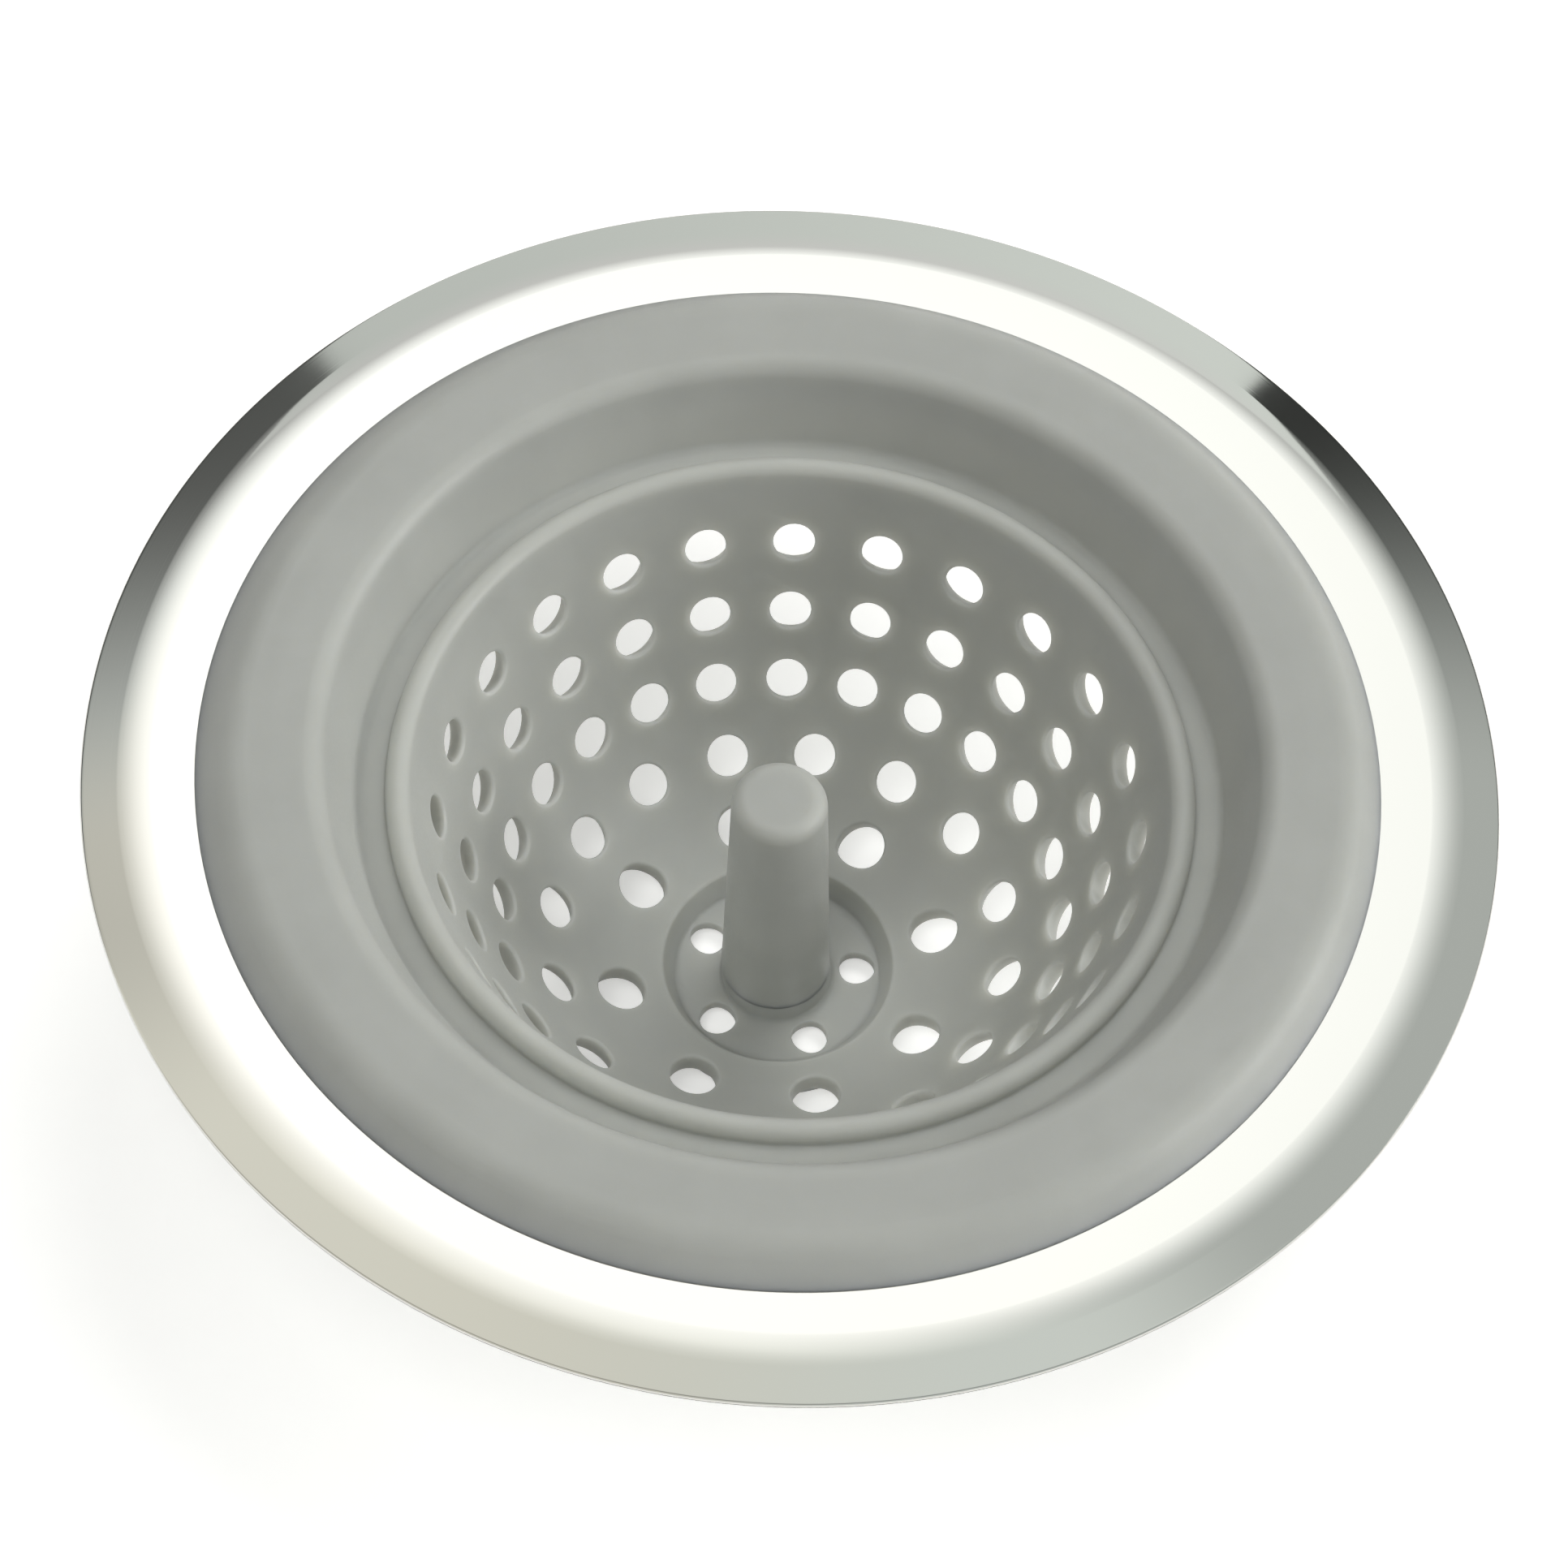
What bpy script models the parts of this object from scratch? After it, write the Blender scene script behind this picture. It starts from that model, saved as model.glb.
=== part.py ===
"""Sink strainer basket: a pressed steel ring gripped by a flexible moulded basket.

Heights are measured from the surface that the foot stands on, and +Z points up.
The basket's bottom, with its grip post, travels up along Z when the bowl is turned inside out.
"""

import math

import bmesh
import bpy
from mathutils import Matrix, Vector
from mathutils.geometry import interpolate_bezier

MM = 0.001

# Clearances and construction
TOUCH_GAP = 0.3 * MM            # between two pieces that touch on the real object
CUT_OVERRUN = 1.5 * MM          # how far a cutter stands past the surface it cuts
WELD_DISTANCE = 0.01 * MM
RING_SEGMENTS = 60
BOWL_SEGMENTS = 48
POST_SEGMENTS = 32
HOLE_SIDES = 10
CURVE_POINTS = 10               # along the bowl's wall, as modelled
CURVE_DETAIL = 200              # points along it where hole places are worked out
ARC_STEP = math.radians(40)     # largest turn between two points of a rounded corner

# Steel ring
RIM_DIAMETER = 114.3 * MM
SHEET_THICKNESS = 0.6 * MM
LIP_WIDTH = 3.85 * MM           # turned-down outer band, measured along the radius
LIP_DROP = 1.1 * MM             # from the level band to the outer edge
LIP_BEND_RADIUS = 2.5 * MM
SHEET_EDGE_RADIUS = 0.15 * MM
FACE_WIDTH = 5.5 * MM           # visible level band, between the lip and the collar
WEB_WIDTH = 5.5 * MM            # hidden inner band that the collar grips
LOCK_HOLE_COUNT = 12
LOCK_HOLE_DIAMETER = 3.4 * MM
LOCK_HOLE_TURN = math.pi / RING_SEGMENTS     # half a facet, which keeps them off the facets' edges

# Collar
CROWN_RISE = 2.7 * MM           # above the steel's level band
JAW_EDGE = 0.3 * MM             # upright edge of the upper jaw on the steel
SHOULDER_WIDTH = 3.3 * MM       # from the edge on the steel in to the crown
SHOULDER_RADIUS = 3.2 * MM
CROWN_WIDTH = 6.5 * MM
CROWN_INNER_RADIUS = 1.6 * MM
THROAT_WIDTH = 3.1 * MM         # how far the slope from the crown to the ledge runs inwards
LEDGE_WIDTH = 1.9 * MM
LEDGE_DROP = 3.05 * MM          # below the ring's outer edge
LEDGE_CORNER_RADIUS = 0.7 * MM
LEDGE_THICKNESS = 1.8 * MM
PLUG_WALL = 2.0 * MM            # collar wall that enters the drain, measured along the radius
PAD_THICKNESS = 0.8 * MM        # under the steel, it seats on the sink
PAD_REACH = 2.5 * MM            # past the collar's visible edge, hidden under the steel
PAD_CORNER_RADIUS = 0.5 * MM

# Bowl
BEAD_RADIUS = 1.0 * MM
BEAD_RISE = 1.6 * MM            # above the ledge
BOWL_DEPTH = 29.3 * MM          # ring's outer edge to the rim of the recess
WALL_THICKNESS = 1.8 * MM
WALL_ANGLE = math.radians(69.3)     # of the upper wall, from level
UPPER_HANDLE_SHARE = 0.55       # of the curve's depth: how long the wall stays nearly straight
LOWER_HANDLE_SHARE = 0.59       # of the curve's breadth: how long the bottom stays nearly level
WALL_ROOT = 1.3 * MM            # height over which the wall thickens to meet the ledge
ROW_HOLE_COUNTS = (24, 24, 24, 16, 8)
ROW_PLACE_SHARES = (0.183, 0.373, 0.557, 0.738, 0.909)   # of the wall's length, from the bead down
ROW_TURNS = tuple(math.radians(turn) for turn in (2.5, 2.5, 2.5, 17.0, 17.0))
WALL_HOLE_DIAMETER = 3.5 * MM
LOWEST_ROW_HOLE_DIAMETER = 4.0 * MM

# Recess, floor and foot
RECESS_DIAMETER = 18.6 * MM
RECESS_DEPTH = 1.85 * MM
RECESS_SLOPE = 0.9 * MM         # how far its side runs inwards
RECESS_EDGE_RADIUS = 0.35 * MM
FLOOR_THICKNESS = 1.85 * MM
CUP_WALL = 0.7 * MM             # of the recess, at its rim
CUP_TAPER = 0.8 * MM            # the cup narrows downwards by this, so that it can't drop through
FOOT_WIDTH = 1.3 * MM
FOOT_CORNER_RADIUS = 0.4 * MM
DRAIN_HOLE_COUNT = 5
DRAIN_HOLE_DIAMETER = 2.6 * MM
DRAIN_HOLE_TURN = math.radians(5.0)

# Grip post
POST_HEIGHT = 27.1 * MM
POST_BASE_DIAMETER = 10.3 * MM
POST_TOP_DIAMETER = 7.8 * MM
POST_TOP_RADIUS = 1.3 * MM

# Radii and heights that follow from the sizes above
RIM_RADIUS = RIM_DIAMETER / 2
EDGE_HEIGHT = BOWL_DEPTH + RECESS_DEPTH + FLOOR_THICKNESS   # of the ring's outer edge
FACE_TOP = EDGE_HEIGHT + LIP_DROP
FACE_BOTTOM = FACE_TOP - SHEET_THICKNESS
LIP_RADIUS = RIM_RADIUS - LIP_WIDTH
COLLAR_RADIUS = LIP_RADIUS - FACE_WIDTH
WEB_RADIUS = COLLAR_RADIUS - WEB_WIDTH
LOCK_CIRCLE_RADIUS = COLLAR_RADIUS - WEB_WIDTH / 2
CROWN_HEIGHT = FACE_TOP + CROWN_RISE
CROWN_RADIUS = COLLAR_RADIUS - SHOULDER_WIDTH
THROAT_RADIUS = CROWN_RADIUS - CROWN_WIDTH
PAD_BOTTOM = FACE_BOTTOM - TOUCH_GAP - PAD_THICKNESS
LEDGE_HEIGHT = EDGE_HEIGHT - LEDGE_DROP
LEDGE_RADIUS = THROAT_RADIUS - THROAT_WIDTH
LEDGE_BORE_RADIUS = LEDGE_RADIUS - LEDGE_WIDTH
BEAD_OUTER_RADIUS = LEDGE_BORE_RADIUS - TOUCH_GAP
BEAD_CENTRE = Vector((BEAD_OUTER_RADIUS - BEAD_RADIUS, LEDGE_HEIGHT + BEAD_RISE - BEAD_RADIUS))
RECESS_TOP = EDGE_HEIGHT - BOWL_DEPTH
RECESS_RADIUS = RECESS_DIAMETER / 2
FLOOR_RADIUS = RECESS_RADIUS - RECESS_SLOPE
CUP_RADIUS = RECESS_RADIUS + CUP_WALL
FOOT_BORE_TOP = CUP_RADIUS + TOUCH_GAP
FOOT_BORE_BOTTOM = FOOT_BORE_TOP - CUP_TAPER
FOOT_RADIUS = FOOT_BORE_BOTTOM + FOOT_WIDTH
POST_BASE_RADIUS = POST_BASE_DIAMETER / 2
DRAIN_CIRCLE_RADIUS = (POST_BASE_RADIUS + FLOOR_RADIUS) / 2


def clear_scene():
    for obj in list(bpy.data.objects):
        bpy.data.objects.remove(obj)


def new_collection(name):
    collection = bpy.data.collections.new(name)
    bpy.context.scene.collection.children.link(collection)
    return collection


def finish(obj, name, colour, roughness, metallic=0.0):
    """The piece's material, and normals that keep its flat faces flat beside rounded edges and holes."""
    made = bpy.data.materials.new(name)
    made.use_nodes = True
    shader = made.node_tree.nodes["Principled BSDF"]
    shader.inputs["Base Color"].default_value = (*colour, 1)
    shader.inputs["Roughness"].default_value = roughness
    shader.inputs["Metallic"].default_value = metallic
    made.diffuse_color = (*colour, 1)
    obj.data.materials.append(made)
    obj.modifiers.new("Even shading", "WEIGHTED_NORMAL")


def rounded_corner(before, corner, after, radius):
    """Points of the arc that rounds a corner, with its radius limited by the two edges beside it."""
    to_before = Vector(before) - Vector(corner)
    to_after = Vector(after) - Vector(corner)
    opening = to_before.angle(to_after)
    reach = min(radius / math.tan(opening / 2), to_before.length / 2, to_after.length / 2)
    radius = reach * math.tan(opening / 2)
    middle = (to_before.normalized() + to_after.normalized()).normalized()
    centre = Vector(corner) + middle * (radius / math.sin(opening / 2))
    start = Vector(corner) + to_before.normalized() * reach - centre
    turn = math.pi - opening
    if to_before.cross(to_after) > 0:
        turn = -turn
    steps = max(1, math.ceil(abs(turn) / ARC_STEP))
    return [
        centre + Matrix.Rotation(turn * step / steps, 2) @ start
        for step in range(steps + 1)
    ]


def outline(corners):
    """A profile of radii and heights; a corner is (radius, height) or (radius, height, rounding)."""
    points = []
    for index, corner in enumerate(corners):
        if len(corner) == 2:
            points.append(Vector(corner))
            continue
        before = corners[index - 1]
        after = corners[(index + 1) % len(corners)]
        points += rounded_corner(before[:2], corner[:2], after[:2], corner[2])
    return points


def turned(name, points, segments, collection, closed=True):
    """A solid turned from a profile that runs down its outer side."""
    mesh = bpy.data.meshes.new(name)
    count = len(points)
    edges = [(index, (index + 1) % count) for index in range(count if closed else count - 1)]
    mesh.from_pydata([(point[0], 0, point[1]) for point in points], edges, [])
    obj = bpy.data.objects.new(name, mesh)
    collection.objects.link(obj)
    screw = obj.modifiers.new("Turn", "SCREW")
    screw.axis = "Z"
    screw.steps = segments
    screw.render_steps = segments
    screw.use_smooth_shade = True
    screw.use_merge_vertices = True
    screw.merge_threshold = WELD_DISTANCE
    return obj


def as_cutter(obj):
    obj.hide_render = True
    obj.display_type = "WIRE"
    return obj


def drill(name, places, collection):
    """One cutter of cylinders; each place is (centre, direction, diameter, length)."""
    shape = bmesh.new()
    for centre, direction, diameter, length in places:
        turn = direction.to_track_quat("Z", "Y").to_matrix().to_4x4()
        bmesh.ops.create_cone(
            shape,
            cap_ends=True,
            segments=HOLE_SIDES,
            radius1=diameter / 2,
            radius2=diameter / 2,
            depth=length,
            matrix=Matrix.Translation(centre) @ turn,
        )
    mesh = bpy.data.meshes.new(name)
    shape.to_mesh(mesh)
    shape.free()
    obj = bpy.data.objects.new(name, mesh)
    collection.objects.link(obj)
    return as_cutter(obj)


def cut(obj, cutter):
    boolean = obj.modifiers.new("Cut " + cutter.name, "BOOLEAN")
    boolean.operation = "DIFFERENCE"
    boolean.solver = "EXACT"
    boolean.object = cutter


def upright_holes(count, circle_radius, diameter, bottom, top, first_turn):
    """Places of vertical holes on a circle, for drill."""
    middle = (bottom + top) / 2
    length = top - bottom + 2 * CUT_OVERRUN
    places = []
    for index in range(count):
        turn = first_turn + math.tau * index / count
        centre = Vector((circle_radius * math.cos(turn), circle_radius * math.sin(turn), middle))
        places.append((centre, Vector((0, 0, 1)), diameter, length))
    return places


def bowl_curve(resolution):
    """Inner face of the bowl's wall, from the end of the bead's arc down to the recess."""
    start = BEAD_CENTRE + BEAD_RADIUS * Vector((-math.sin(WALL_ANGLE), math.cos(WALL_ANGLE)))
    end = Vector((FOOT_BORE_TOP, RECESS_TOP))
    downhill = Vector((-math.cos(WALL_ANGLE), -math.sin(WALL_ANGLE)))
    start_handle = start + downhill * UPPER_HANDLE_SHARE * (start.y - end.y)
    end_handle = end + Vector((LOWER_HANDLE_SHARE * (start.x - end.x), 0))
    return interpolate_bezier(start, start_handle, end_handle, end, resolution)


def outward(before, after):
    """Unit normal towards the bowl's outside, for a curve that runs downhill from before to after."""
    along = (after - before).normalized()
    return Vector((-along.y, along.x))


def offset_curve(curve, distance):
    """The curve's points moved out through the wall."""
    last = len(curve) - 1
    return [
        point + distance * outward(curve[max(index - 1, 0)], curve[min(index + 1, last)])
        for index, point in enumerate(curve)
    ]


def place_on_curve(curve, share):
    """Point and outward normal at a share of the curve's length."""
    lengths = [(after - before).length for before, after in zip(curve, curve[1:])]
    left = share * sum(lengths)
    for before, after, length in zip(curve, curve[1:], lengths):
        if left <= length:
            return before.lerp(after, left / length), outward(before, after)
        left -= length
    return curve[-1], outward(curve[-2], curve[-1])


def lock_places(diameter):
    """Places of the web's lock holes, or of the collar's pillars that run through them."""
    return upright_holes(
        LOCK_HOLE_COUNT, LOCK_CIRCLE_RADIUS, diameter, FACE_BOTTOM, FACE_TOP, LOCK_HOLE_TURN
    )


def make_rim_ring(parts, cutters):
    slope = math.atan2(LIP_DROP, LIP_WIDTH)
    inner_bend = LIP_RADIUS - SHEET_THICKNESS * math.tan(slope / 2)
    lower_edge = Vector((RIM_RADIUS, EDGE_HEIGHT))
    lower_edge -= SHEET_THICKNESS * Vector((math.sin(slope), math.cos(slope)))
    profile = outline([
        (WEB_RADIUS, FACE_TOP, SHEET_EDGE_RADIUS),
        (LIP_RADIUS, FACE_TOP, LIP_BEND_RADIUS),
        (RIM_RADIUS, EDGE_HEIGHT, SHEET_EDGE_RADIUS),
        (*lower_edge, SHEET_EDGE_RADIUS),
        (inner_bend, FACE_BOTTOM, LIP_BEND_RADIUS),
        (WEB_RADIUS, FACE_BOTTOM, SHEET_EDGE_RADIUS),
    ])
    ring = turned("rim_ring", profile, RING_SEGMENTS, parts)
    cut(ring, drill("lock_holes", lock_places(LOCK_HOLE_DIAMETER), cutters))
    finish(ring, "polished stainless steel", (0.62, 0.62, 0.60), 0.12, metallic=1.0)


def make_collar(parts, cutters):
    ledge_bottom = LEDGE_HEIGHT - LEDGE_THICKNESS
    edge_top = FACE_TOP + TOUCH_GAP + JAW_EDGE
    throat_slope = THROAT_WIDTH / (CROWN_HEIGHT - LEDGE_HEIGHT)
    plug_bottom_radius = LEDGE_RADIUS + PLUG_WALL + throat_slope * (ledge_bottom - LEDGE_HEIGHT)
    plug_top_radius = plug_bottom_radius + throat_slope * (PAD_BOTTOM - ledge_bottom)
    pad_radius = COLLAR_RADIUS + PAD_REACH
    profile = outline([
        (CROWN_RADIUS, CROWN_HEIGHT, SHOULDER_RADIUS),
        (COLLAR_RADIUS, edge_top),
        (COLLAR_RADIUS, FACE_BOTTOM),
        (pad_radius, FACE_BOTTOM),
        (pad_radius, PAD_BOTTOM, PAD_CORNER_RADIUS),
        (plug_top_radius, PAD_BOTTOM, LEDGE_CORNER_RADIUS),
        (plug_bottom_radius, ledge_bottom, LEDGE_CORNER_RADIUS),
        (LEDGE_BORE_RADIUS, ledge_bottom),
        (LEDGE_BORE_RADIUS, LEDGE_HEIGHT),
        (LEDGE_RADIUS, LEDGE_HEIGHT, LEDGE_CORNER_RADIUS),
        (THROAT_RADIUS, CROWN_HEIGHT, CROWN_INNER_RADIUS),
    ])
    collar = turned("collar", profile, RING_SEGMENTS, parts)
    slot = turned("web_slot", outline([
        (WEB_RADIUS - TOUCH_GAP, FACE_TOP + TOUCH_GAP),
        (RIM_RADIUS, FACE_TOP + TOUCH_GAP),
        (RIM_RADIUS, FACE_BOTTOM - TOUCH_GAP),
        (WEB_RADIUS - TOUCH_GAP, FACE_BOTTOM - TOUCH_GAP),
    ]), RING_SEGMENTS, cutters)
    pillar_diameter = LOCK_HOLE_DIAMETER - 2 * TOUCH_GAP
    cut(slot, drill("lock_pillars", lock_places(pillar_diameter), cutters))
    cut(collar, as_cutter(slot))
    finish(collar, "silicone, collar", (0.38, 0.40, 0.38), 0.45)


def wall_hole_places():
    """Five rows of holes, each square to the wall."""
    curve = bowl_curve(CURVE_DETAIL)
    places = []
    for row, count in enumerate(ROW_HOLE_COUNTS):
        point, normal = place_on_curve(curve, ROW_PLACE_SHARES[row])
        middle = point + normal * WALL_THICKNESS / 2
        lowest = row == len(ROW_HOLE_COUNTS) - 1
        diameter = LOWEST_ROW_HOLE_DIAMETER if lowest else WALL_HOLE_DIAMETER
        for index in range(count):
            turn = Matrix.Rotation(ROW_TURNS[row] + math.tau * index / count, 3, "Z")
            centre = turn @ Vector((middle.x, 0, middle.y))
            direction = turn @ Vector((normal.x, 0, normal.y))
            places.append((centre, direction, diameter, WALL_THICKNESS + 2 * CUT_OVERRUN))
    return places


def make_bowl_wall(parts, cutters):
    bead_arc = []
    sweep = math.pi / 2 + WALL_ANGLE
    bead_steps = math.ceil(sweep / ARC_STEP)
    for step in range(1, bead_steps + 1):
        angle = sweep * (1 - step / bead_steps)
        bead_arc.append(BEAD_CENTRE + BEAD_RADIUS * Vector((math.cos(angle), math.sin(angle))))
    inner = bowl_curve(CURVE_POINTS)
    ledge_bottom = LEDGE_HEIGHT - LEDGE_THICKNESS
    foot_side = FOOT_RADIUS + FOOT_CORNER_RADIUS
    outer = [
        point for point in offset_curve(inner, WALL_THICKNESS)
        if point.y < ledge_bottom - WALL_ROOT and point.x > foot_side
    ]
    profile = outline([
        *bead_arc,
        (BEAD_OUTER_RADIUS, ledge_bottom),
        *outer,
        (FOOT_RADIUS, outer[-1].y, FOOT_CORNER_RADIUS),
        (FOOT_RADIUS, 0, FOOT_CORNER_RADIUS),
        (FOOT_BORE_BOTTOM, 0),
        *reversed(inner),
    ])
    wall = turned("bowl_wall", profile, BOWL_SEGMENTS, parts)
    cut(wall, drill("wall_holes", wall_hole_places(), cutters))
    finish(wall, "silicone, bowl", (0.36, 0.38, 0.36), 0.45)


def make_bowl_floor(parts, cutters, axis):
    bottom = TOUCH_GAP
    taper = CUP_TAPER * (RECESS_TOP - bottom) / RECESS_TOP
    profile = outline([
        (0, FLOOR_THICKNESS),
        (FLOOR_RADIUS, FLOOR_THICKNESS, RECESS_EDGE_RADIUS),
        (RECESS_RADIUS, RECESS_TOP, RECESS_EDGE_RADIUS),
        (CUP_RADIUS, RECESS_TOP),
        (CUP_RADIUS - taper, bottom),
        (0, bottom),
    ])
    floor = turned("bowl_floor", profile, POST_SEGMENTS, parts, closed=False)
    holes = upright_holes(
        DRAIN_HOLE_COUNT, DRAIN_CIRCLE_RADIUS, DRAIN_HOLE_DIAMETER, bottom, FLOOR_THICKNESS, DRAIN_HOLE_TURN
    )
    cut(floor, drill("drain_holes", holes, cutters))
    finish(floor, "silicone, floor", (0.34, 0.36, 0.34), 0.45)
    floor.parent = axis


def make_grip_post(parts, axis):
    profile = outline([
        (0, POST_HEIGHT),
        (POST_TOP_DIAMETER / 2, POST_HEIGHT, POST_TOP_RADIUS),
        (POST_BASE_RADIUS, 0),
        (0, 0),
    ])
    post = turned("grip_post", profile, POST_SEGMENTS, parts, closed=False)
    post.location.z = FLOOR_THICKNESS + TOUCH_GAP
    finish(post, "silicone, post", (0.33, 0.35, 0.33), 0.45)
    post.parent = axis


def main():
    clear_scene()
    parts = new_collection("sink strainer")
    cutters = new_collection("sink strainer cutters")
    push_axis = bpy.data.objects.new("push_axis", None)
    parts.objects.link(push_axis)
    make_rim_ring(parts, cutters)
    make_collar(parts, cutters)
    make_bowl_wall(parts, cutters)
    make_bowl_floor(parts, cutters, push_axis)
    make_grip_post(parts, push_axis)


main()
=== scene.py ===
"""Sink strainer basket: its finished surfaces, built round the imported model, on a white studio table.

Lengths are in metres, heights are from the surface the basket stands on, and +Z is its axis.
Turns are round that axis, from +X, which is the photograph's right. Its far side is +Y.
"""

import math
from bisect import bisect_right
from collections import namedtuple

import bmesh
import bpy
from bpy.props import (
    FloatProperty,
    FloatVectorProperty,
    IntProperty,
    IntVectorProperty,
    PointerProperty,
)
from bpy.types import Operator, Panel, PropertyGroup
from mathutils import Matrix, Vector
from mathutils.geometry import interpolate_bezier


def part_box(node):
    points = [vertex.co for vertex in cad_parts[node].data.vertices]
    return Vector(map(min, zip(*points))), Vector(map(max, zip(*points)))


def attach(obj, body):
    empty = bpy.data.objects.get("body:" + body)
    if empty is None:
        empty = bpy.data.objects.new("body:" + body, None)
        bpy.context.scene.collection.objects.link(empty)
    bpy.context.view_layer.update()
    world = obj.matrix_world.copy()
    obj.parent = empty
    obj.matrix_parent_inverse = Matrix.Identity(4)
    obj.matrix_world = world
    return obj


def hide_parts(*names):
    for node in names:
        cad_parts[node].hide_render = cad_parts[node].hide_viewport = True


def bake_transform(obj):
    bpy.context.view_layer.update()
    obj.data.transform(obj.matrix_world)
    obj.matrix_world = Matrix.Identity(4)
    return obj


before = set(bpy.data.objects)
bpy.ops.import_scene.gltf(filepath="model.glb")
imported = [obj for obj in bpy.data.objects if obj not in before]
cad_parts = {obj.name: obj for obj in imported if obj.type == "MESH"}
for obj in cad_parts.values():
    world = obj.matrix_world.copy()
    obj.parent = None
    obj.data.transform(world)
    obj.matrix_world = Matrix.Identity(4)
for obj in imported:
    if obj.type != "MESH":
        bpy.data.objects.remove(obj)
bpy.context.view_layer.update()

bl_info = {
    "name": "Sink strainer basket",
    "version": (1, 0, 0),
    "blender": (4, 5, 0),
    "location": "View3D > Sidebar > Strainer",
    "description": "Builds a moulded strainer basket in its pressed steel ring",
    "category": "Add Mesh",
}

MM = 0.001

RING_BODY = "ring_and_collar"
BOTTOM_BODY = "bowl_bottom"

# Construction
AROUND = 240                    # points round every turned piece; each row's count divides it
ARC_STEP = math.radians(11)     # largest turn between two points of a rounded corner
CORNER_SHARE = 0.48             # how much of a profile's edge the rounding of one of its ends may take
SUPPORT = 0.12 * MM             # plain strip beside a rounded edge, which keeps the flat next to it flat
WELD_DISTANCE = 0.002 * MM
EMBED = 0.02 * MM               # how far a piece sinks into the one it touches
CRISP = 0.02 * MM               # rounding of a corner that stays sharp to the eye
HIDDEN_ROUND = 0.1 * MM         # rounding of the corners round the steel, inside the collar
CURVE_DETAIL = 800              # points along the bowl's wall, where places on it are looked up

# Cells, each a stretch of wall or floor round one hole
WALL_CELL_STEPS = 8             # points down each side of a cell
FLOOR_CELL_STEPS = 6
RIM_STEPS = 4                   # round the edge of a hole
CELL_LOOPS = (1, 0.62, 0.28, 0)     # loops round a hole, as shares of the way out to its cell's border
TOP_MARGIN = 3.3 * MM           # from the top row's middle up to its cells' border
TOP_DROP = 0.6 * MM             # how much lower that border is on the wall's back, under the ledge
LOW_MARGIN = 2.85 * MM          # from the lowest row's middle down to its cells' border
LOW_MARGIN_BACK = 2.5 * MM      # the same on the wall's back, which ends at the foot ring
SEAM = 0.2 * MM                 # half the strip between rows with different numbers of holes
FLOOR_MARGIN = 0.05 * MM        # from the floor's edge in to its cells
ROOT_MARGIN = 0.07 * MM         # from the post's fillet out to the floor's cells

# Profiles of the moulding and the post
NECK_STEPS = 4                  # points from the top row's cells up to the bead
FLANK_START = 0.1 * MM          # below the bead's middle, where its upright flank starts
WALL_ROOT = 1.7 * MM            # along the wall's back, where it thickens to meet the ledge
RIM_APPROACH = 0.45 * MM        # along the wall, before the recess's rim
FLOOR_CORNER = 0.1 * MM         # outwards and upwards from the floor's edge, where the recess's side ends
BORE_MARGIN = 0.3 * MM          # from the foot's bore in to the floor's underside
POST_STEPS = 8                  # rings up the side of the post, so that it can bend

# Lamps, as turn and elevation in degrees
SIDE_LAMP = (0, 25)
BACK_LAMP = (60, 62)
FRONT_LAMP = (240, 62)
LAMP_WIDTH = math.radians(35)

# Tent of reflected cloth round the basket, in degrees across and degrees up from the back
TENT_REACH = 1.5                # in metres
TENT_SIDE = 80
TENT_FOOT = 10
TENT_STEP = 5

TABLE_RINGS = (1.0, 0.2, 0)     # radii of the rings that divide the table
CLIP_START = 0.01               # nearest distance that the camera sees

Row = namedtuple("Row", "count middle radius flare turn top bottom back_top back_bottom down")


# Settings

def length(name, description, default_mm):
    return FloatProperty(
        name=name, description=description, default=default_mm * MM, min=0, unit="LENGTH",
        subtype="DISTANCE", precision=5,
    )


def angle(name, description, default_degrees):
    return FloatProperty(
        name=name, description=description, default=math.radians(default_degrees), unit="ROTATION",
        subtype="ANGLE",
    )


def linear(hex_colour):
    """The linear colour of an sRGB hex value."""
    parts = [int(hex_colour[place:place + 2], 16) / 255 for place in (1, 3, 5)]
    return [part / 12.92 if part <= 0.04045 else ((part + 0.055) / 1.055) ** 2.4 for part in parts]


def colour(name, description, hex_colour):
    return FloatVectorProperty(
        name=name, description=description, default=linear(hex_colour), min=0, max=1, size=3,
        subtype="COLOR",
    )


def far_corner_mm(node):
    """Highest corner of a CAD node's box, in millimetres."""
    return [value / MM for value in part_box(node)[1]]


ring_corner = far_corner_mm("rim_ring")
collar_corner = far_corner_mm("collar")
post_corner = far_corner_mm("grip_post")


class RingSettings(PropertyGroup):
    outer_radius: length("Outer radius", "Radius of the ring's turned-down edge", ring_corner[0])
    edge_height: length("Edge height", "Height of the turned-down edge's upper side", 33.0)
    face_height: length("Face height", "Height of the level band", ring_corner[2])
    lip_radius: length("Lip radius", "Where the level band turns down into the lip", 52.8)
    web_radius: length("Web radius", "Inner radius of the band hidden in the collar", 42.3)
    sheet: length("Sheet", "Thickness of the steel", 0.6)
    bend: length("Bend", "Radius of the bend from the band to the lip", 10.0)
    edge: length("Edge", "Rounding of the sheet's cut edges", 0.27)
    metal: colour("Steel", "Colour that the polished steel gives its reflections", "#CDCCC8")


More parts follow.
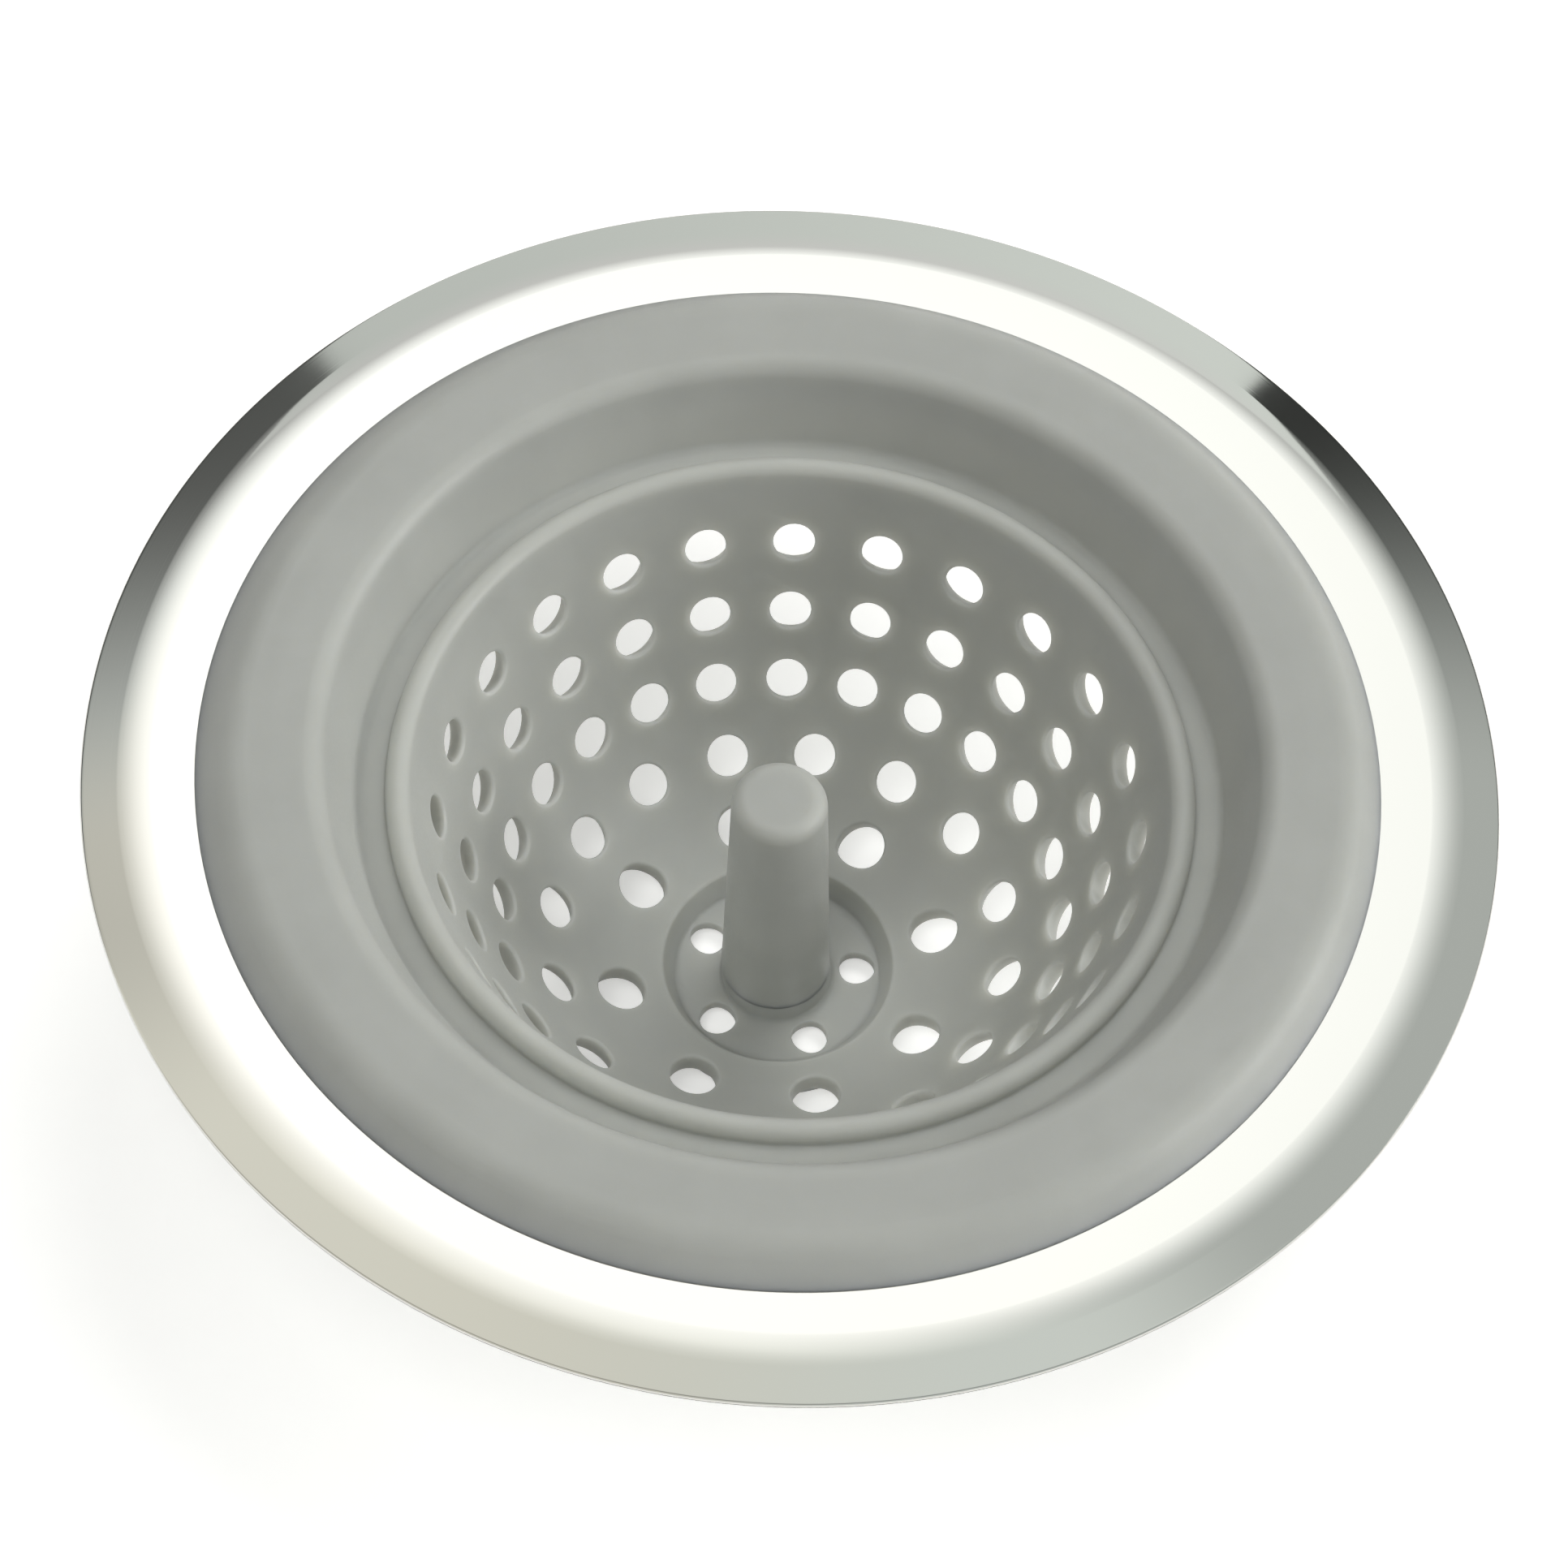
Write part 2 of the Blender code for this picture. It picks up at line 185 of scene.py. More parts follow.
class CollarSettings(PropertyGroup):
    outer_radius: length("Outer radius", "Where the collar's upper jaw meets the steel", 47.6)
    jaw: length("Jaw edge", "Upright edge of the upper jaw on the steel", 0.12)
    crown_radius: length("Crown radius", "Outer radius of the crown", 45.1)
    crown_height: length("Crown height", "Height of the crown's middle", collar_corner[2])
    crown_bow: length("Crown bow", "How much lower the crown's sides are than its middle", 0.1)
    throat_radius: length("Throat radius", "Inner radius of the crown", 38.0)
    ledge_radius: length("Ledge radius", "Outer radius of the ledge inside the collar", 34.9)
    ledge_height: length("Ledge height", "Height of the ledge beside the bead", 30.1)
    ledge_fall: length("Ledge fall", "How much lower the ledge is at the foot of the slope", 0.3)
    ledge_bottom: length("Ledge underside", "Height of the ledge's underside", 28.15)
    plug_bottom: length("Plug radius, bottom", "Outer radius, at its foot, of the wall in the drain", 36.1)
    plug_top: length("Plug radius, top", "Outer radius of that wall, under the pad", 37.99)
    pad_radius: length("Pad radius", "Outer radius of the pad that seats on the sink", 50.3)
    pad_bottom: length("Pad height", "Height of the pad's underside", 32.4)
    shoulder_round: length("Shoulder rounding", "Rounding between the crown and the outer slope", 3.25)
    bow_round: length("Bow rounding", "Rounding along the crown's middle", 8.0)
    crown_round: length("Crown rounding", "Rounding between the crown and the inner slope", 1.9)
    ledge_round: length("Ledge rounding", "Rounding at the foot of the inner slope", 0.7)
    bead_fillet: length("Bead fillet", "Fillet between the ledge and the bead", 0.9)
    jaw_round: length("Jaw rounding", "Rounding of the upper jaw's edge", 0.05)
    pad_round: length("Pad rounding", "Rounding of the pad's edge", 0.4)
    plug_round: length("Plug rounding", "Rounding at the top and the foot of the plug", 0.5)
    root_round: length("Root rounding", "Rounding between the ledge's underside and the bowl", 0.8)
    jaw_shift: FloatVectorProperty(
        name="Jaw shift", description="How far the jaw's edge sits off centre on the steel", size=2,
        default=(-0.25 * MM, -0.3 * MM), unit="LENGTH", precision=5,
    )


class BowlSettings(PropertyGroup):
    bead_centre: length("Bead centre", "Radius of the bead's centre line", 31.7)
    bead_height: length("Bead height", "Height of the bead's centre line", 30.55)
    bead_radius: length("Bead radius", "Half the bead's thickness", 1.0)
    wall: length("Wall", "Thickness of the perforated wall", 1.8)
    wall_angle: angle("Wall angle", "Slope of the upper wall from level", 69.3)
    upper_handle: length("Upper reach", "How long the wall keeps its upper slope", 14.96)
    lower_handle: length("Lower reach", "How long the bottom stays nearly level", 12.67)
    recess_radius: length("Recess radius", "Radius of the recess's rim", 9.7)
    recess_height: length("Recess height", "Height of the recess's rim", 3.68)
    row_counts: IntVectorProperty(
        name="Holes in each row", description="From the top row down", default=(24, 24, 24, 16, 8),
        size=5, min=1,
    )
    row_places: FloatVectorProperty(
        name="Row places", description="Distance of each row from the bead, along the wall",
        default=[place * MM for place in (6.68, 13.62, 20.30, 26.91, 33.14)], size=5, unit="LENGTH",
        precision=5,
    )
    row_turns: FloatVectorProperty(
        name="Row turns", description="Turn of each row's first hole",
        default=[math.radians(turn) for turn in (2.5, 2.5, 2.5, 17.0, 17.0)], size=5, unit="ROTATION",
    )
    hole_radius: length("Hole radius", "Half the width of the holes in the wall", 1.75)
    low_hole_radius: length("Lowest hole radius", "Half the width of the holes in the lowest row", 2.0)
    hole_round: length("Hole rounding", "Rounding of the holes' rims", 0.25)
    hole_flare: length("Hole flare", "How much wider the holes in the wall are at its outer face", 0.7)
    foot_radius: length("Foot radius", "Outer radius of the foot ring", 10.8)
    foot_bore: length("Foot bore", "Inner radius of the foot ring", 9.5)
    recess_round: length("Recess rounding", "Rounding of the recess's rim", 0.35)
    foot_round: length("Foot rounding", "Rounding of the foot ring's outer edge", 0.25)
    foot_root_round: length("Foot root rounding", "Rounding between the foot ring and the bowl", 0.3)
    bore_round: length("Bore rounding", "Rounding of the foot bore's edges", 0.12)


class FloorSettings(PropertyGroup):
    radius: length("Radius", "Radius of the recess's floor", 8.65)
    top: length("Top", "Height of the recess's floor", 1.85)
    bottom: length("Underside", "Height of its underside", 0.85)
    hole_count: IntProperty(name="Drain holes", description="Holes round the post", default=5, min=3)
    hole_radius: length("Hole radius", "Half the width of a drain hole", 1.5)
    hole_circle: length("Hole circle", "Radius of the circle the drain holes are on", 6.775)
    hole_turn: angle("Hole turn", "Turn of the first drain hole", 9.5)
    hole_round: length("Hole rounding", "Rounding of the drain holes' rims", 0.12)


class PostSettings(PropertyGroup):
    height: length("Top height", "Height of the post's top", post_corner[2])
    base_radius: length("Base radius", "Radius at the floor", 4.6)
    top_radius: length("Top radius", "Radius at the top", 3.9)
    top_round: length("Top rounding", "Rounding of the top edge", 1.3)
    base_round: length("Base rounding", "Fillet between the post and the floor", 0.35)
    root_top: length("Root top", "Height up to which the post is made in one with the floor", 3.6)
    lean: length("Lean", "How far the soft post leans to the left at its top", 0.84)


class FinishSettings(PropertyGroup):
    silicone: colour("Silicone", "Colour of the moulded silicone", "#AFB1AC")


class StageSettings(PropertyGroup):
    floor_radius: FloatProperty(
        name="Floor radius", description="Radius of the white table", default=6.0, unit="LENGTH",
        subtype="DISTANCE",
    )
    paper: colour("Paper", "Colour of the table's white paper", "#F4F4F2")
    paper_lift: FloatProperty(
        name="Paper lift", description="What the background rays see besides the lit paper", default=0.5,
        min=0,
    )
    side_light: FloatProperty(
        name="Side light",
        description="Light from the right; at 1, a surface facing it shows its own colour",
        default=0.52, min=0,
    )
    back_light: FloatProperty(
        name="Back light", description="Light from high at the back", default=0.32, min=0,
    )
    front_light: FloatProperty(
        name="Front light", description="Light from high at the front", default=0.33, min=0,
    )
    room_light: FloatProperty(name="Room light", description="Light from all round", default=0.2, min=0)
    distance: FloatProperty(
        name="Camera distance", description="From the camera to the ring", default=0.5271, unit="LENGTH",
        subtype="DISTANCE",
    )
    elevation: angle("Camera elevation", "Angle of the camera above level", 57.17)
    roll: angle("Camera roll", "Turn of the camera round its view", 4.21)
    aim: FloatVectorProperty(
        name="Camera aim", description="Point in the middle of the picture", size=3,
        default=(-0.6 * MM, -1.1 * MM, 33 * MM), unit="LENGTH", precision=5,
    )
    sensor: FloatProperty(name="Sensor width", description="In millimetres", default=36, min=1)
    focal_length: FloatProperty(name="Focal length", description="In millimetres", default=150.67, min=1)


class StrainerSettings(PropertyGroup):
    ring: PointerProperty(type=RingSettings, name="Ring", description="Pressed steel ring")
    collar: PointerProperty(type=CollarSettings, name="Collar", description="Moulding that grips the ring")
    bowl: PointerProperty(type=BowlSettings, name="Bowl", description="Perforated wall, bead and foot")
    floor: PointerProperty(type=FloorSettings, name="Floor", description="Floor of the recess")
    post: PointerProperty(type=PostSettings, name="Post", description="Post that the basket is held by")
    finish: PointerProperty(type=FinishSettings, name="Finish", description="Colours of the moulding")
    stage: PointerProperty(type=StageSettings, name="Stage", description="Table, lamps and camera")


# Shapes

def rounded_corner(before, corner, after, radius):
    """Points of the arc that rounds a corner, with a support point on each side of it."""
    to_before = Vector(before) - Vector(corner)
    to_after = Vector(after) - Vector(corner)
    opening = to_before.angle(to_after)
    longest = CORNER_SHARE * min(to_before.length, to_after.length)
    reach = min(radius / math.tan(opening / 2), longest)
    radius = reach * math.tan(opening / 2)
    middle = (to_before.normalized() + to_after.normalized()).normalized()
    centre = Vector(corner) + middle * (radius / math.sin(opening / 2))
    start = Vector(corner) + to_before.normalized() * reach
    end = Vector(corner) + to_after.normalized() * reach
    turn = math.pi - opening
    if to_before.cross(to_after) > 0:
        turn = -turn
    steps = max(2, math.ceil(abs(turn) / ARC_STEP))
    arc = [centre + Matrix.Rotation(turn * step / steps, 2) @ (start - centre) for step in range(steps + 1)]
    if to_before.length - reach > 2 * SUPPORT:
        arc.insert(0, start + to_before.normalized() * SUPPORT)
    if to_after.length - reach > 2 * SUPPORT:
        arc.append(end + to_after.normalized() * SUPPORT)
    return arc


def outline(corners, closed=True):
    """Points of a profile; a corner is (radius, height) or (radius, height, rounding)."""
    points = []
    for index, corner in enumerate(corners):
        if len(corner) == 2 or not closed and index in (0, len(corners) - 1):
            points.append(Vector(corner[:2]))
            continue
        before = corners[index - 1]
        after = corners[(index + 1) % len(corners)]
        points += rounded_corner(before[:2], corner[:2], after[:2], corner[2])
    return points


def at_turn(turn, point):
    """A point of a profile, turned round the axis."""
    return Vector((point[0] * math.cos(turn), point[0] * math.sin(turn), point[1]))


def ring_of(shape, point, phase=0):
    """One ring of points round the axis, or the single point where it meets the axis."""
    if point[0] < WELD_DISTANCE:
        return [shape.verts.new((0, 0, point[1]))]
    return [shape.verts.new(at_turn(phase + math.tau * step / AROUND, point)) for step in range(AROUND)]


def bridge(shape, rings):
    """Faces between each ring and the next."""
    for first, second in zip(rings, rings[1:]):
        count = max(len(first), len(second))
        for step in range(count):
            corners = [
                first[step % len(first)],
                first[(step + 1) % len(first)],
                second[(step + 1) % len(second)],
                second[step % len(second)],
            ]
            shape.faces.new(list(dict.fromkeys(corners)))


def made_from(shape, name, material):
    """A smooth object from a finished shape, with its open seams welded and its faces turned outwards."""
    bmesh.ops.remove_doubles(shape, verts=shape.verts, dist=WELD_DISTANCE)
    bmesh.ops.recalc_face_normals(shape, faces=shape.faces)
    loose = [edge for edge in shape.edges if len(edge.link_faces) != 2]
    if loose:
        raise RuntimeError(name + " isn't closed: " + str(len(loose)) + " open edges")
    mesh = bpy.data.meshes.new(name)
    shape.to_mesh(mesh)
    shape.free()
    mesh.shade_smooth()
    mesh.materials.append(material)
    obj = bpy.data.objects.new(name, mesh)
    bpy.context.scene.collection.objects.link(obj)
    return obj


def turned(name, points, material, closed=True):
    """A piece turned from a profile. An open profile starts and ends on the axis."""
    shape = bmesh.new()
    rings = [ring_of(shape, point) for point in points]
    if closed:
        rings.append(rings[0])
    bridge(shape, rings)
    return made_from(shape, name, material)


def first_turn(row, near=0.0):
    """Turn of the point on a row's border that is nearest to another turn."""
    step = math.tau / AROUND
    turn = row.turn - math.pi / row.count
    return turn - step * round((turn - near) / step)


def perforate(shape, row, place, radius_at, thickness, rounding):
    """One row of cells, each a stretch of wall with a round hole through it.

    place gives the point at a turn, a distance along the wall and a depth in it, and radius_at the
    distance of that point from the axis.
    """
    half = math.pi / row.count
    across = AROUND // row.count

    def border(top, bottom):
        left_to_right = [half * (2 * step / across - 1) for step in range(across)]
        down = [top + (bottom - top) * step / row.down for step in range(row.down)]
        up = [bottom + (top - bottom) * step / row.down for step in range(row.down)]
        return (
            [(turn, top) for turn in left_to_right]
            + [(half, along) for along in down]
            + [(-turn, bottom) for turn in left_to_right]
            + [(-half, along) for along in up]
        )

    def flat(turn, along, depth):
        return Vector((turn * radius_at(along, depth), along - row.middle))

    front = [flat(turn, along, 0) for turn, along in border(row.top, row.bottom)]
    back = [flat(turn, along, thickness) for turn, along in border(row.back_top, row.back_bottom)]
    aims = [point.normalized() for point in front]
    arc = [math.pi / 2 * step / RIM_STEPS for step in range(RIM_STEPS + 1)]
    rim = [
        (row.radius + rounding * (1 - math.sin(turn)), rounding * (1 - math.cos(turn))) for turn in arc
    ]
    near = [aim * (row.radius + rounding + SUPPORT) for aim in aims]
    far = [aim * (row.radius + row.flare + rounding + SUPPORT) for aim in aims]
    # Each loop is its points and their depth: over the front, through the hole and over the back
    loops = [
        ([inner.lerp(outer, share) for inner, outer in zip(near, front)], 0) for share in CELL_LOOPS
    ]
    loops += [([aim * radius for aim in aims], depth) for radius, depth in rim]
    loops += [
        ([aim * (radius + row.flare) for aim in aims], thickness - depth) for radius, depth in reversed(rim)
    ]
    loops += [
        ([inner.lerp(outer, share) for inner, outer in zip(far, back)], thickness)
        for share in reversed(CELL_LOOPS)
    ]
    for index in range(row.count):
        middle_turn = row.turn + math.tau * index / row.count
        rings = []
        for points, depth in loops:
            ring = []
            for point in points:
                along = row.middle + point.y
                turn = middle_turn + point.x / radius_at(along, depth)
                ring.append(shape.verts.new(place(turn, along, depth)))
            rings.append(ring)
        bridge(shape, rings)


class WallCurve:
    """The bowl's inner face in the plane of radius and height, looked up by distance from the bead."""

    def __init__(self, bowl):
        slope = bowl.wall_angle
        side = Vector((-math.sin(slope), math.cos(slope)))
        start = Vector((bowl.bead_centre, bowl.bead_height)) + bowl.bead_radius * side
        end = Vector((bowl.recess_radius, bowl.recess_height))
        start_handle = start + Vector((-math.cos(slope), -math.sin(slope))) * bowl.upper_handle
        end_handle = end + Vector((bowl.lower_handle, 0))
        self.points = interpolate_bezier(start, start_handle, end_handle, end, CURVE_DETAIL)
        self.lengths = [0.0]
        for before, after in zip(self.points, self.points[1:]):
            self.lengths.append(self.lengths[-1] + (after - before).length)
        last = len(self.points) - 1
        self.normals = []
        for index in range(len(self.points)):
            along = self.points[min(index + 1, last)] - self.points[max(index - 1, 0)]
            self.normals.append(Vector((-along.y, along.x)).normalized())
        self.length = self.lengths[-1]

    def at(self, along, depth):
        """(radius, height) at a distance along the wall and a depth in it."""
        index = min(max(bisect_right(self.lengths, along) - 1, 0), len(self.lengths) - 2)
        share = (along - self.lengths[index]) / (self.lengths[index + 1] - self.lengths[index])
        point = self.points[index].lerp(self.points[index + 1], share)
        return point + depth * self.normals[index].lerp(self.normals[index + 1], share)


# Materials

def add_node(tree, kind, inputs=None, **settings):
    """A node with its settings; an input is a value, or a socket that is linked to it."""
    node = tree.nodes.new(kind)
    for name, value in settings.items():
        setattr(node, name, value)
    for name, value in (inputs or {}).items():
        if isinstance(value, bpy.types.NodeSocket):
            tree.links.new(value, node.inputs[name])
        else:
            node.inputs[name].default_value = value
    return node


def new_material(name):
    material = bpy.data.materials.new(name)
    material.use_nodes = True
    material.node_tree.nodes.clear()
    return material, material.node_tree


def satin_moulded_silicone(base):
    """Silicone rubber pressed in a fine-blasted mould: warm grey, satin, with soft broad highlights."""
    material, tree = new_material("satin moulded silicone")
    place = add_node(tree, "ShaderNodeTexCoord").outputs["Object"]
    # Clouding of the pigment, about 7 mm across
    clouding = add_node(
        tree, "ShaderNodeTexNoise", {"Vector": place, "Scale": 1 / (7 * MM), "Detail": 3.0},
    )
    shade = add_node(
        tree, "ShaderNodeMapRange",
        {
            "Value": clouding.outputs["Fac"],
            "From Min": 0.3, "From Max": 0.7, "To Min": 0.97, "To Max": 1.03,
        },
    )
    tinted = add_node(
        tree, "ShaderNodeVectorMath", {0: (*base,), "Scale": shade.outputs["Result"]}, operation="SCALE",
    )
    # Blasted texture of the mould, 0.05 mm on the real one, drawn at 0.25 mm so that it shows
    blasting = add_node(
        tree, "ShaderNodeTexNoise", {"Vector": place, "Scale": 1 / (0.25 * MM), "Detail": 2.0},
    )
    sheen = add_node(
        tree, "ShaderNodeMapRange",
        {
            "Value": blasting.outputs["Fac"],
            "From Min": 0.3, "From Max": 0.7, "To Min": 0.40, "To Max": 0.50,
        },
    )
    bump = add_node(
        tree, "ShaderNodeBump",
        {"Height": blasting.outputs["Fac"], "Strength": 0.12, "Distance": 0.02 * MM},
    )
    shader = add_node(
        tree, "ShaderNodeBsdfPrincipled",
        {
            "Base Color": tinted.outputs["Vector"],
            "Roughness": sheen.outputs["Result"],
            "Normal": bump.outputs["Normal"],
            "IOR": 1.41,
            "Subsurface Weight": 1.0,
            "Subsurface Radius": (1.0, 0.95, 0.85),
            "Subsurface Scale": 3.2 * MM,
        },
    )
    add_node(tree, "ShaderNodeOutputMaterial", {"Surface": shader.outputs["BSDF"]})
    return material


def polished_stainless_steel(base):
    """Stainless sheet spun against a polishing wheel: a near mirror, a little soft along the turn."""
    material, tree = new_material("polished stainless steel")
    place = add_node(tree, "ShaderNodeTexCoord").outputs["Object"]
    level = add_node(tree, "ShaderNodeVectorMath", {0: place, 1: (1, 1, 0)}, operation="MULTIPLY")
    radius = add_node(tree, "ShaderNodeVectorMath", {0: level.outputs["Vector"]}, operation="LENGTH")
    # Polishing lines run round the ring, 0.02 mm apart on the real one, drawn 0.15 mm apart
    lines = add_node(
        tree, "ShaderNodeTexNoise",
        {"W": radius.outputs["Value"], "Scale": 1 / (0.15 * MM), "Detail": 2.0},
        noise_dimensions="1D",
    )
    # Faint cloudy film left by handling, about 12 mm across
    film = add_node(tree, "ShaderNodeTexNoise", {"Vector": place, "Scale": 1 / (12 * MM), "Detail": 3.0})
    gloss = add_node(
        tree, "ShaderNodeMapRange",
        {"Value": film.outputs["Fac"], "From Min": 0.3, "From Max": 0.7, "To Min": 0.05, "To Max": 0.08},
    )
    bump = add_node(
        tree, "ShaderNodeBump", {"Height": lines.outputs["Fac"], "Strength": 0.04, "Distance": 0.01 * MM},
    )
    shader = add_node(
        tree, "ShaderNodeBsdfPrincipled",
        {
            "Base Color": (*base, 1),
            "Metallic": 1.0,
            "Roughness": gloss.outputs["Result"],
            "Normal": bump.outputs["Normal"],
        },
    )
    add_node(tree, "ShaderNodeOutputMaterial", {"Surface": shader.outputs["BSDF"]})
    return material


def background_rays(tree):
    """1 for the rays that show the background: the camera's, and those that metal and glass pass on."""
    path = add_node(tree, "ShaderNodeLightPath")
    glossy = add_node(
        tree, "ShaderNodeMath", {0: path.outputs["Is Camera Ray"], 1: path.outputs["Is Glossy Ray"]},
        operation="ADD",
    )
    return add_node(
        tree, "ShaderNodeMath", {0: glossy.outputs[0], 1: path.outputs["Is Transmission Ray"]},
        operation="ADD", use_clamp=True,
    ).outputs[0]


def white_paper(base, lift):
    """Matt seamless paper that stays white in the picture, and keeps the shadow that falls on it."""
    material, tree = new_material("matt white paper")
    matt = add_node(tree, "ShaderNodeBsdfDiffuse", {"Color": (*base, 1)})
    glow = add_node(tree, "ShaderNodeMath", {0: background_rays(tree), 1: lift}, operation="MULTIPLY")
    lit = add_node(tree, "ShaderNodeEmission", {"Color": (*base, 1), "Strength": glow.outputs[0]})
    paper = add_node(tree, "ShaderNodeAddShader", {0: matt.outputs[0], 1: lit.outputs[0]})
    # From below, the table lets the basket's underside be seen
    clear = add_node(tree, "ShaderNodeBsdfTransparent")
    side = add_node(tree, "ShaderNodeNewGeometry").outputs["Backfacing"]
    shown = add_node(tree, "ShaderNodeMixShader", {0: side, 1: paper.outputs[0], 2: clear.outputs[0]})
    add_node(tree, "ShaderNodeOutputMaterial", {"Surface": shown.outputs[0]})
    return material


def reflection_cloth():
    """Lit cloth that only the steel's reflections see: a soft white light high at the back, over a pale
    sheet between dark drapes. The drapes turn pale towards the ceiling, and beige on its left.
    """
    material, tree = new_material("lit studio cloth")
    place = add_node(tree, "ShaderNodeTexCoord").outputs["UV"]
    split = add_node(tree, "ShaderNodeSeparateXYZ", {"Vector": place})
    across = split.outputs["X"]         # degrees to the right of the back
    up = split.outputs["Y"]             # degrees up from the back, 90 overhead

    def step(value, start, end, low, high):
        return add_node(
            tree, "ShaderNodeMapRange",
            {"Value": value, "From Min": start, "From Max": end, "To Min": low, "To Max": high},
            interpolation_type="SMOOTHSTEP",
        ).outputs["Result"]

    def combined(operation, *values):
        return add_node(
            tree, "ShaderNodeMath", dict(enumerate(values)), operation=operation,
        ).outputs[0]

    # The round light, 34 degrees from its middle to where it has faded out
    light_middle = (-3, 58, 0)
    from_light = add_node(tree, "ShaderNodeVectorMath", {0: place, 1: light_middle}, operation="DISTANCE")
    light = step(from_light.outputs["Value"], 0, 34, 1.2, 0)

    # The drapes are dark up to a hem that is lower on the right, and pale above it
    hem = combined("MULTIPLY_ADD", across, 0.15, up)
    drapes = step(hem, 33, 55, 0.05, 0.66)
    # The ceiling over them is paler still, and starts higher on the right
    ceiling = combined("MULTIPLY_ADD", combined("MAXIMUM", across, 0.0), -0.6, up)
    drapes = combined("ADD", drapes, step(ceiling, 66, 80, 0, 0.3))
    # A little paler on the left, grey past the zenith, and pale again at the front
    drapes = combined("ADD", drapes, step(across, -5, -20, 0, 0.05))
    drapes = combined("ADD", drapes, step(up, 98, 118, 0, -0.55))
    drapes = combined("ADD", drapes, step(up, 125, 150, 0, 0.5))

    # The sheet has sharp sides, is brighter on the right, and gives way to the light over it
    sheet = combined("MULTIPLY", step(across, 16.8, 17.2, 1, 0), step(across, -19.8, -19.4, 0, 1))
    sheet = combined("MULTIPLY", sheet, step(across, -22, 22, 0.8, 1.02))
    sheet = combined("MULTIPLY", sheet, step(up, 42, 45, 1, 0))
    cloth = combined("MAXIMUM", drapes, combined("SUBTRACT", sheet, light))

    # Cool at the right and low at the back, else beige; 6 and 7 are the Mix node's two colours
    cool = combined("MAXIMUM", step(across, -15, 15, 0, 1), step(up, 50, 62, 1, 0))
    tint = add_node(
        tree, "ShaderNodeMix",
        {"Factor": cool, 6: (*linear("#FFFEF2"), 1), 7: (*linear("#F8FFFB"), 1)},
        data_type="RGBA",
    )
    dyed = add_node(tree, "ShaderNodeEmission", {"Color": tint.outputs[2], "Strength": cloth})
    white = add_node(tree, "ShaderNodeEmission", {"Strength": light})
    both = add_node(tree, "ShaderNodeAddShader", {0: dyed.outputs[0], 1: white.outputs[0]})
    add_node(tree, "ShaderNodeOutputMaterial", {"Surface": both.outputs[0]})
    return material


def shared_material(name, make, *values):
    """The material of that name, made when it is first asked for."""
    return bpy.data.materials.get(name) or make(*values)


def silicone(context):
    return shared_material(
        "satin moulded silicone", satin_moulded_silicone, context.scene.strainer.finish.silicone
    )


# Pieces

class STRAINER_OT_ring(Operator):
    """Turn the steel ring from its profile, in place of the CAD ring"""
    bl_idname = "strainer.ring"
    bl_label = "Steel ring"

    def execute(self, context):
        ring = context.scene.strainer.ring
        slope = math.atan2(ring.face_height - ring.edge_height, ring.outer_radius - ring.lip_radius)
        lower = Vector((ring.outer_radius, ring.edge_height))
        lower -= ring.sheet * Vector((math.sin(slope), math.cos(slope)))
        bottom = ring.face_height - ring.sheet
        points = outline([
            (ring.web_radius, ring.face_height, ring.edge),
            (ring.lip_radius, ring.face_height, ring.bend),
            (ring.outer_radius, ring.edge_height, ring.edge),
            (*lower, ring.edge),
            (ring.lip_radius - ring.sheet * math.tan(slope / 2), bottom, ring.bend),
            (ring.web_radius, bottom, ring.edge),
        ])
        steel = shared_material("polished stainless steel", polished_stainless_steel, ring.metal)
        piece = turned("steel_ring", points, steel)
        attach(piece, RING_BODY)
        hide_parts("rim_ring")
        return {"FINISHED"}


def post_radius(post, floor, height):
    """Radius of the tapered post at a height."""
    share = (height - floor.top) / (post.height - floor.top)
    return post.base_radius + share * (post.top_radius - post.base_radius)


def lean_post(vertices, post, floor):
    """Bends the soft post to the left, most of all near its foot."""
    for vertex in vertices:
        share = max(0, (vertex.co.z - floor.top) / (post.height - floor.top))
        vertex.co.x -= post.lean * math.sqrt(share)


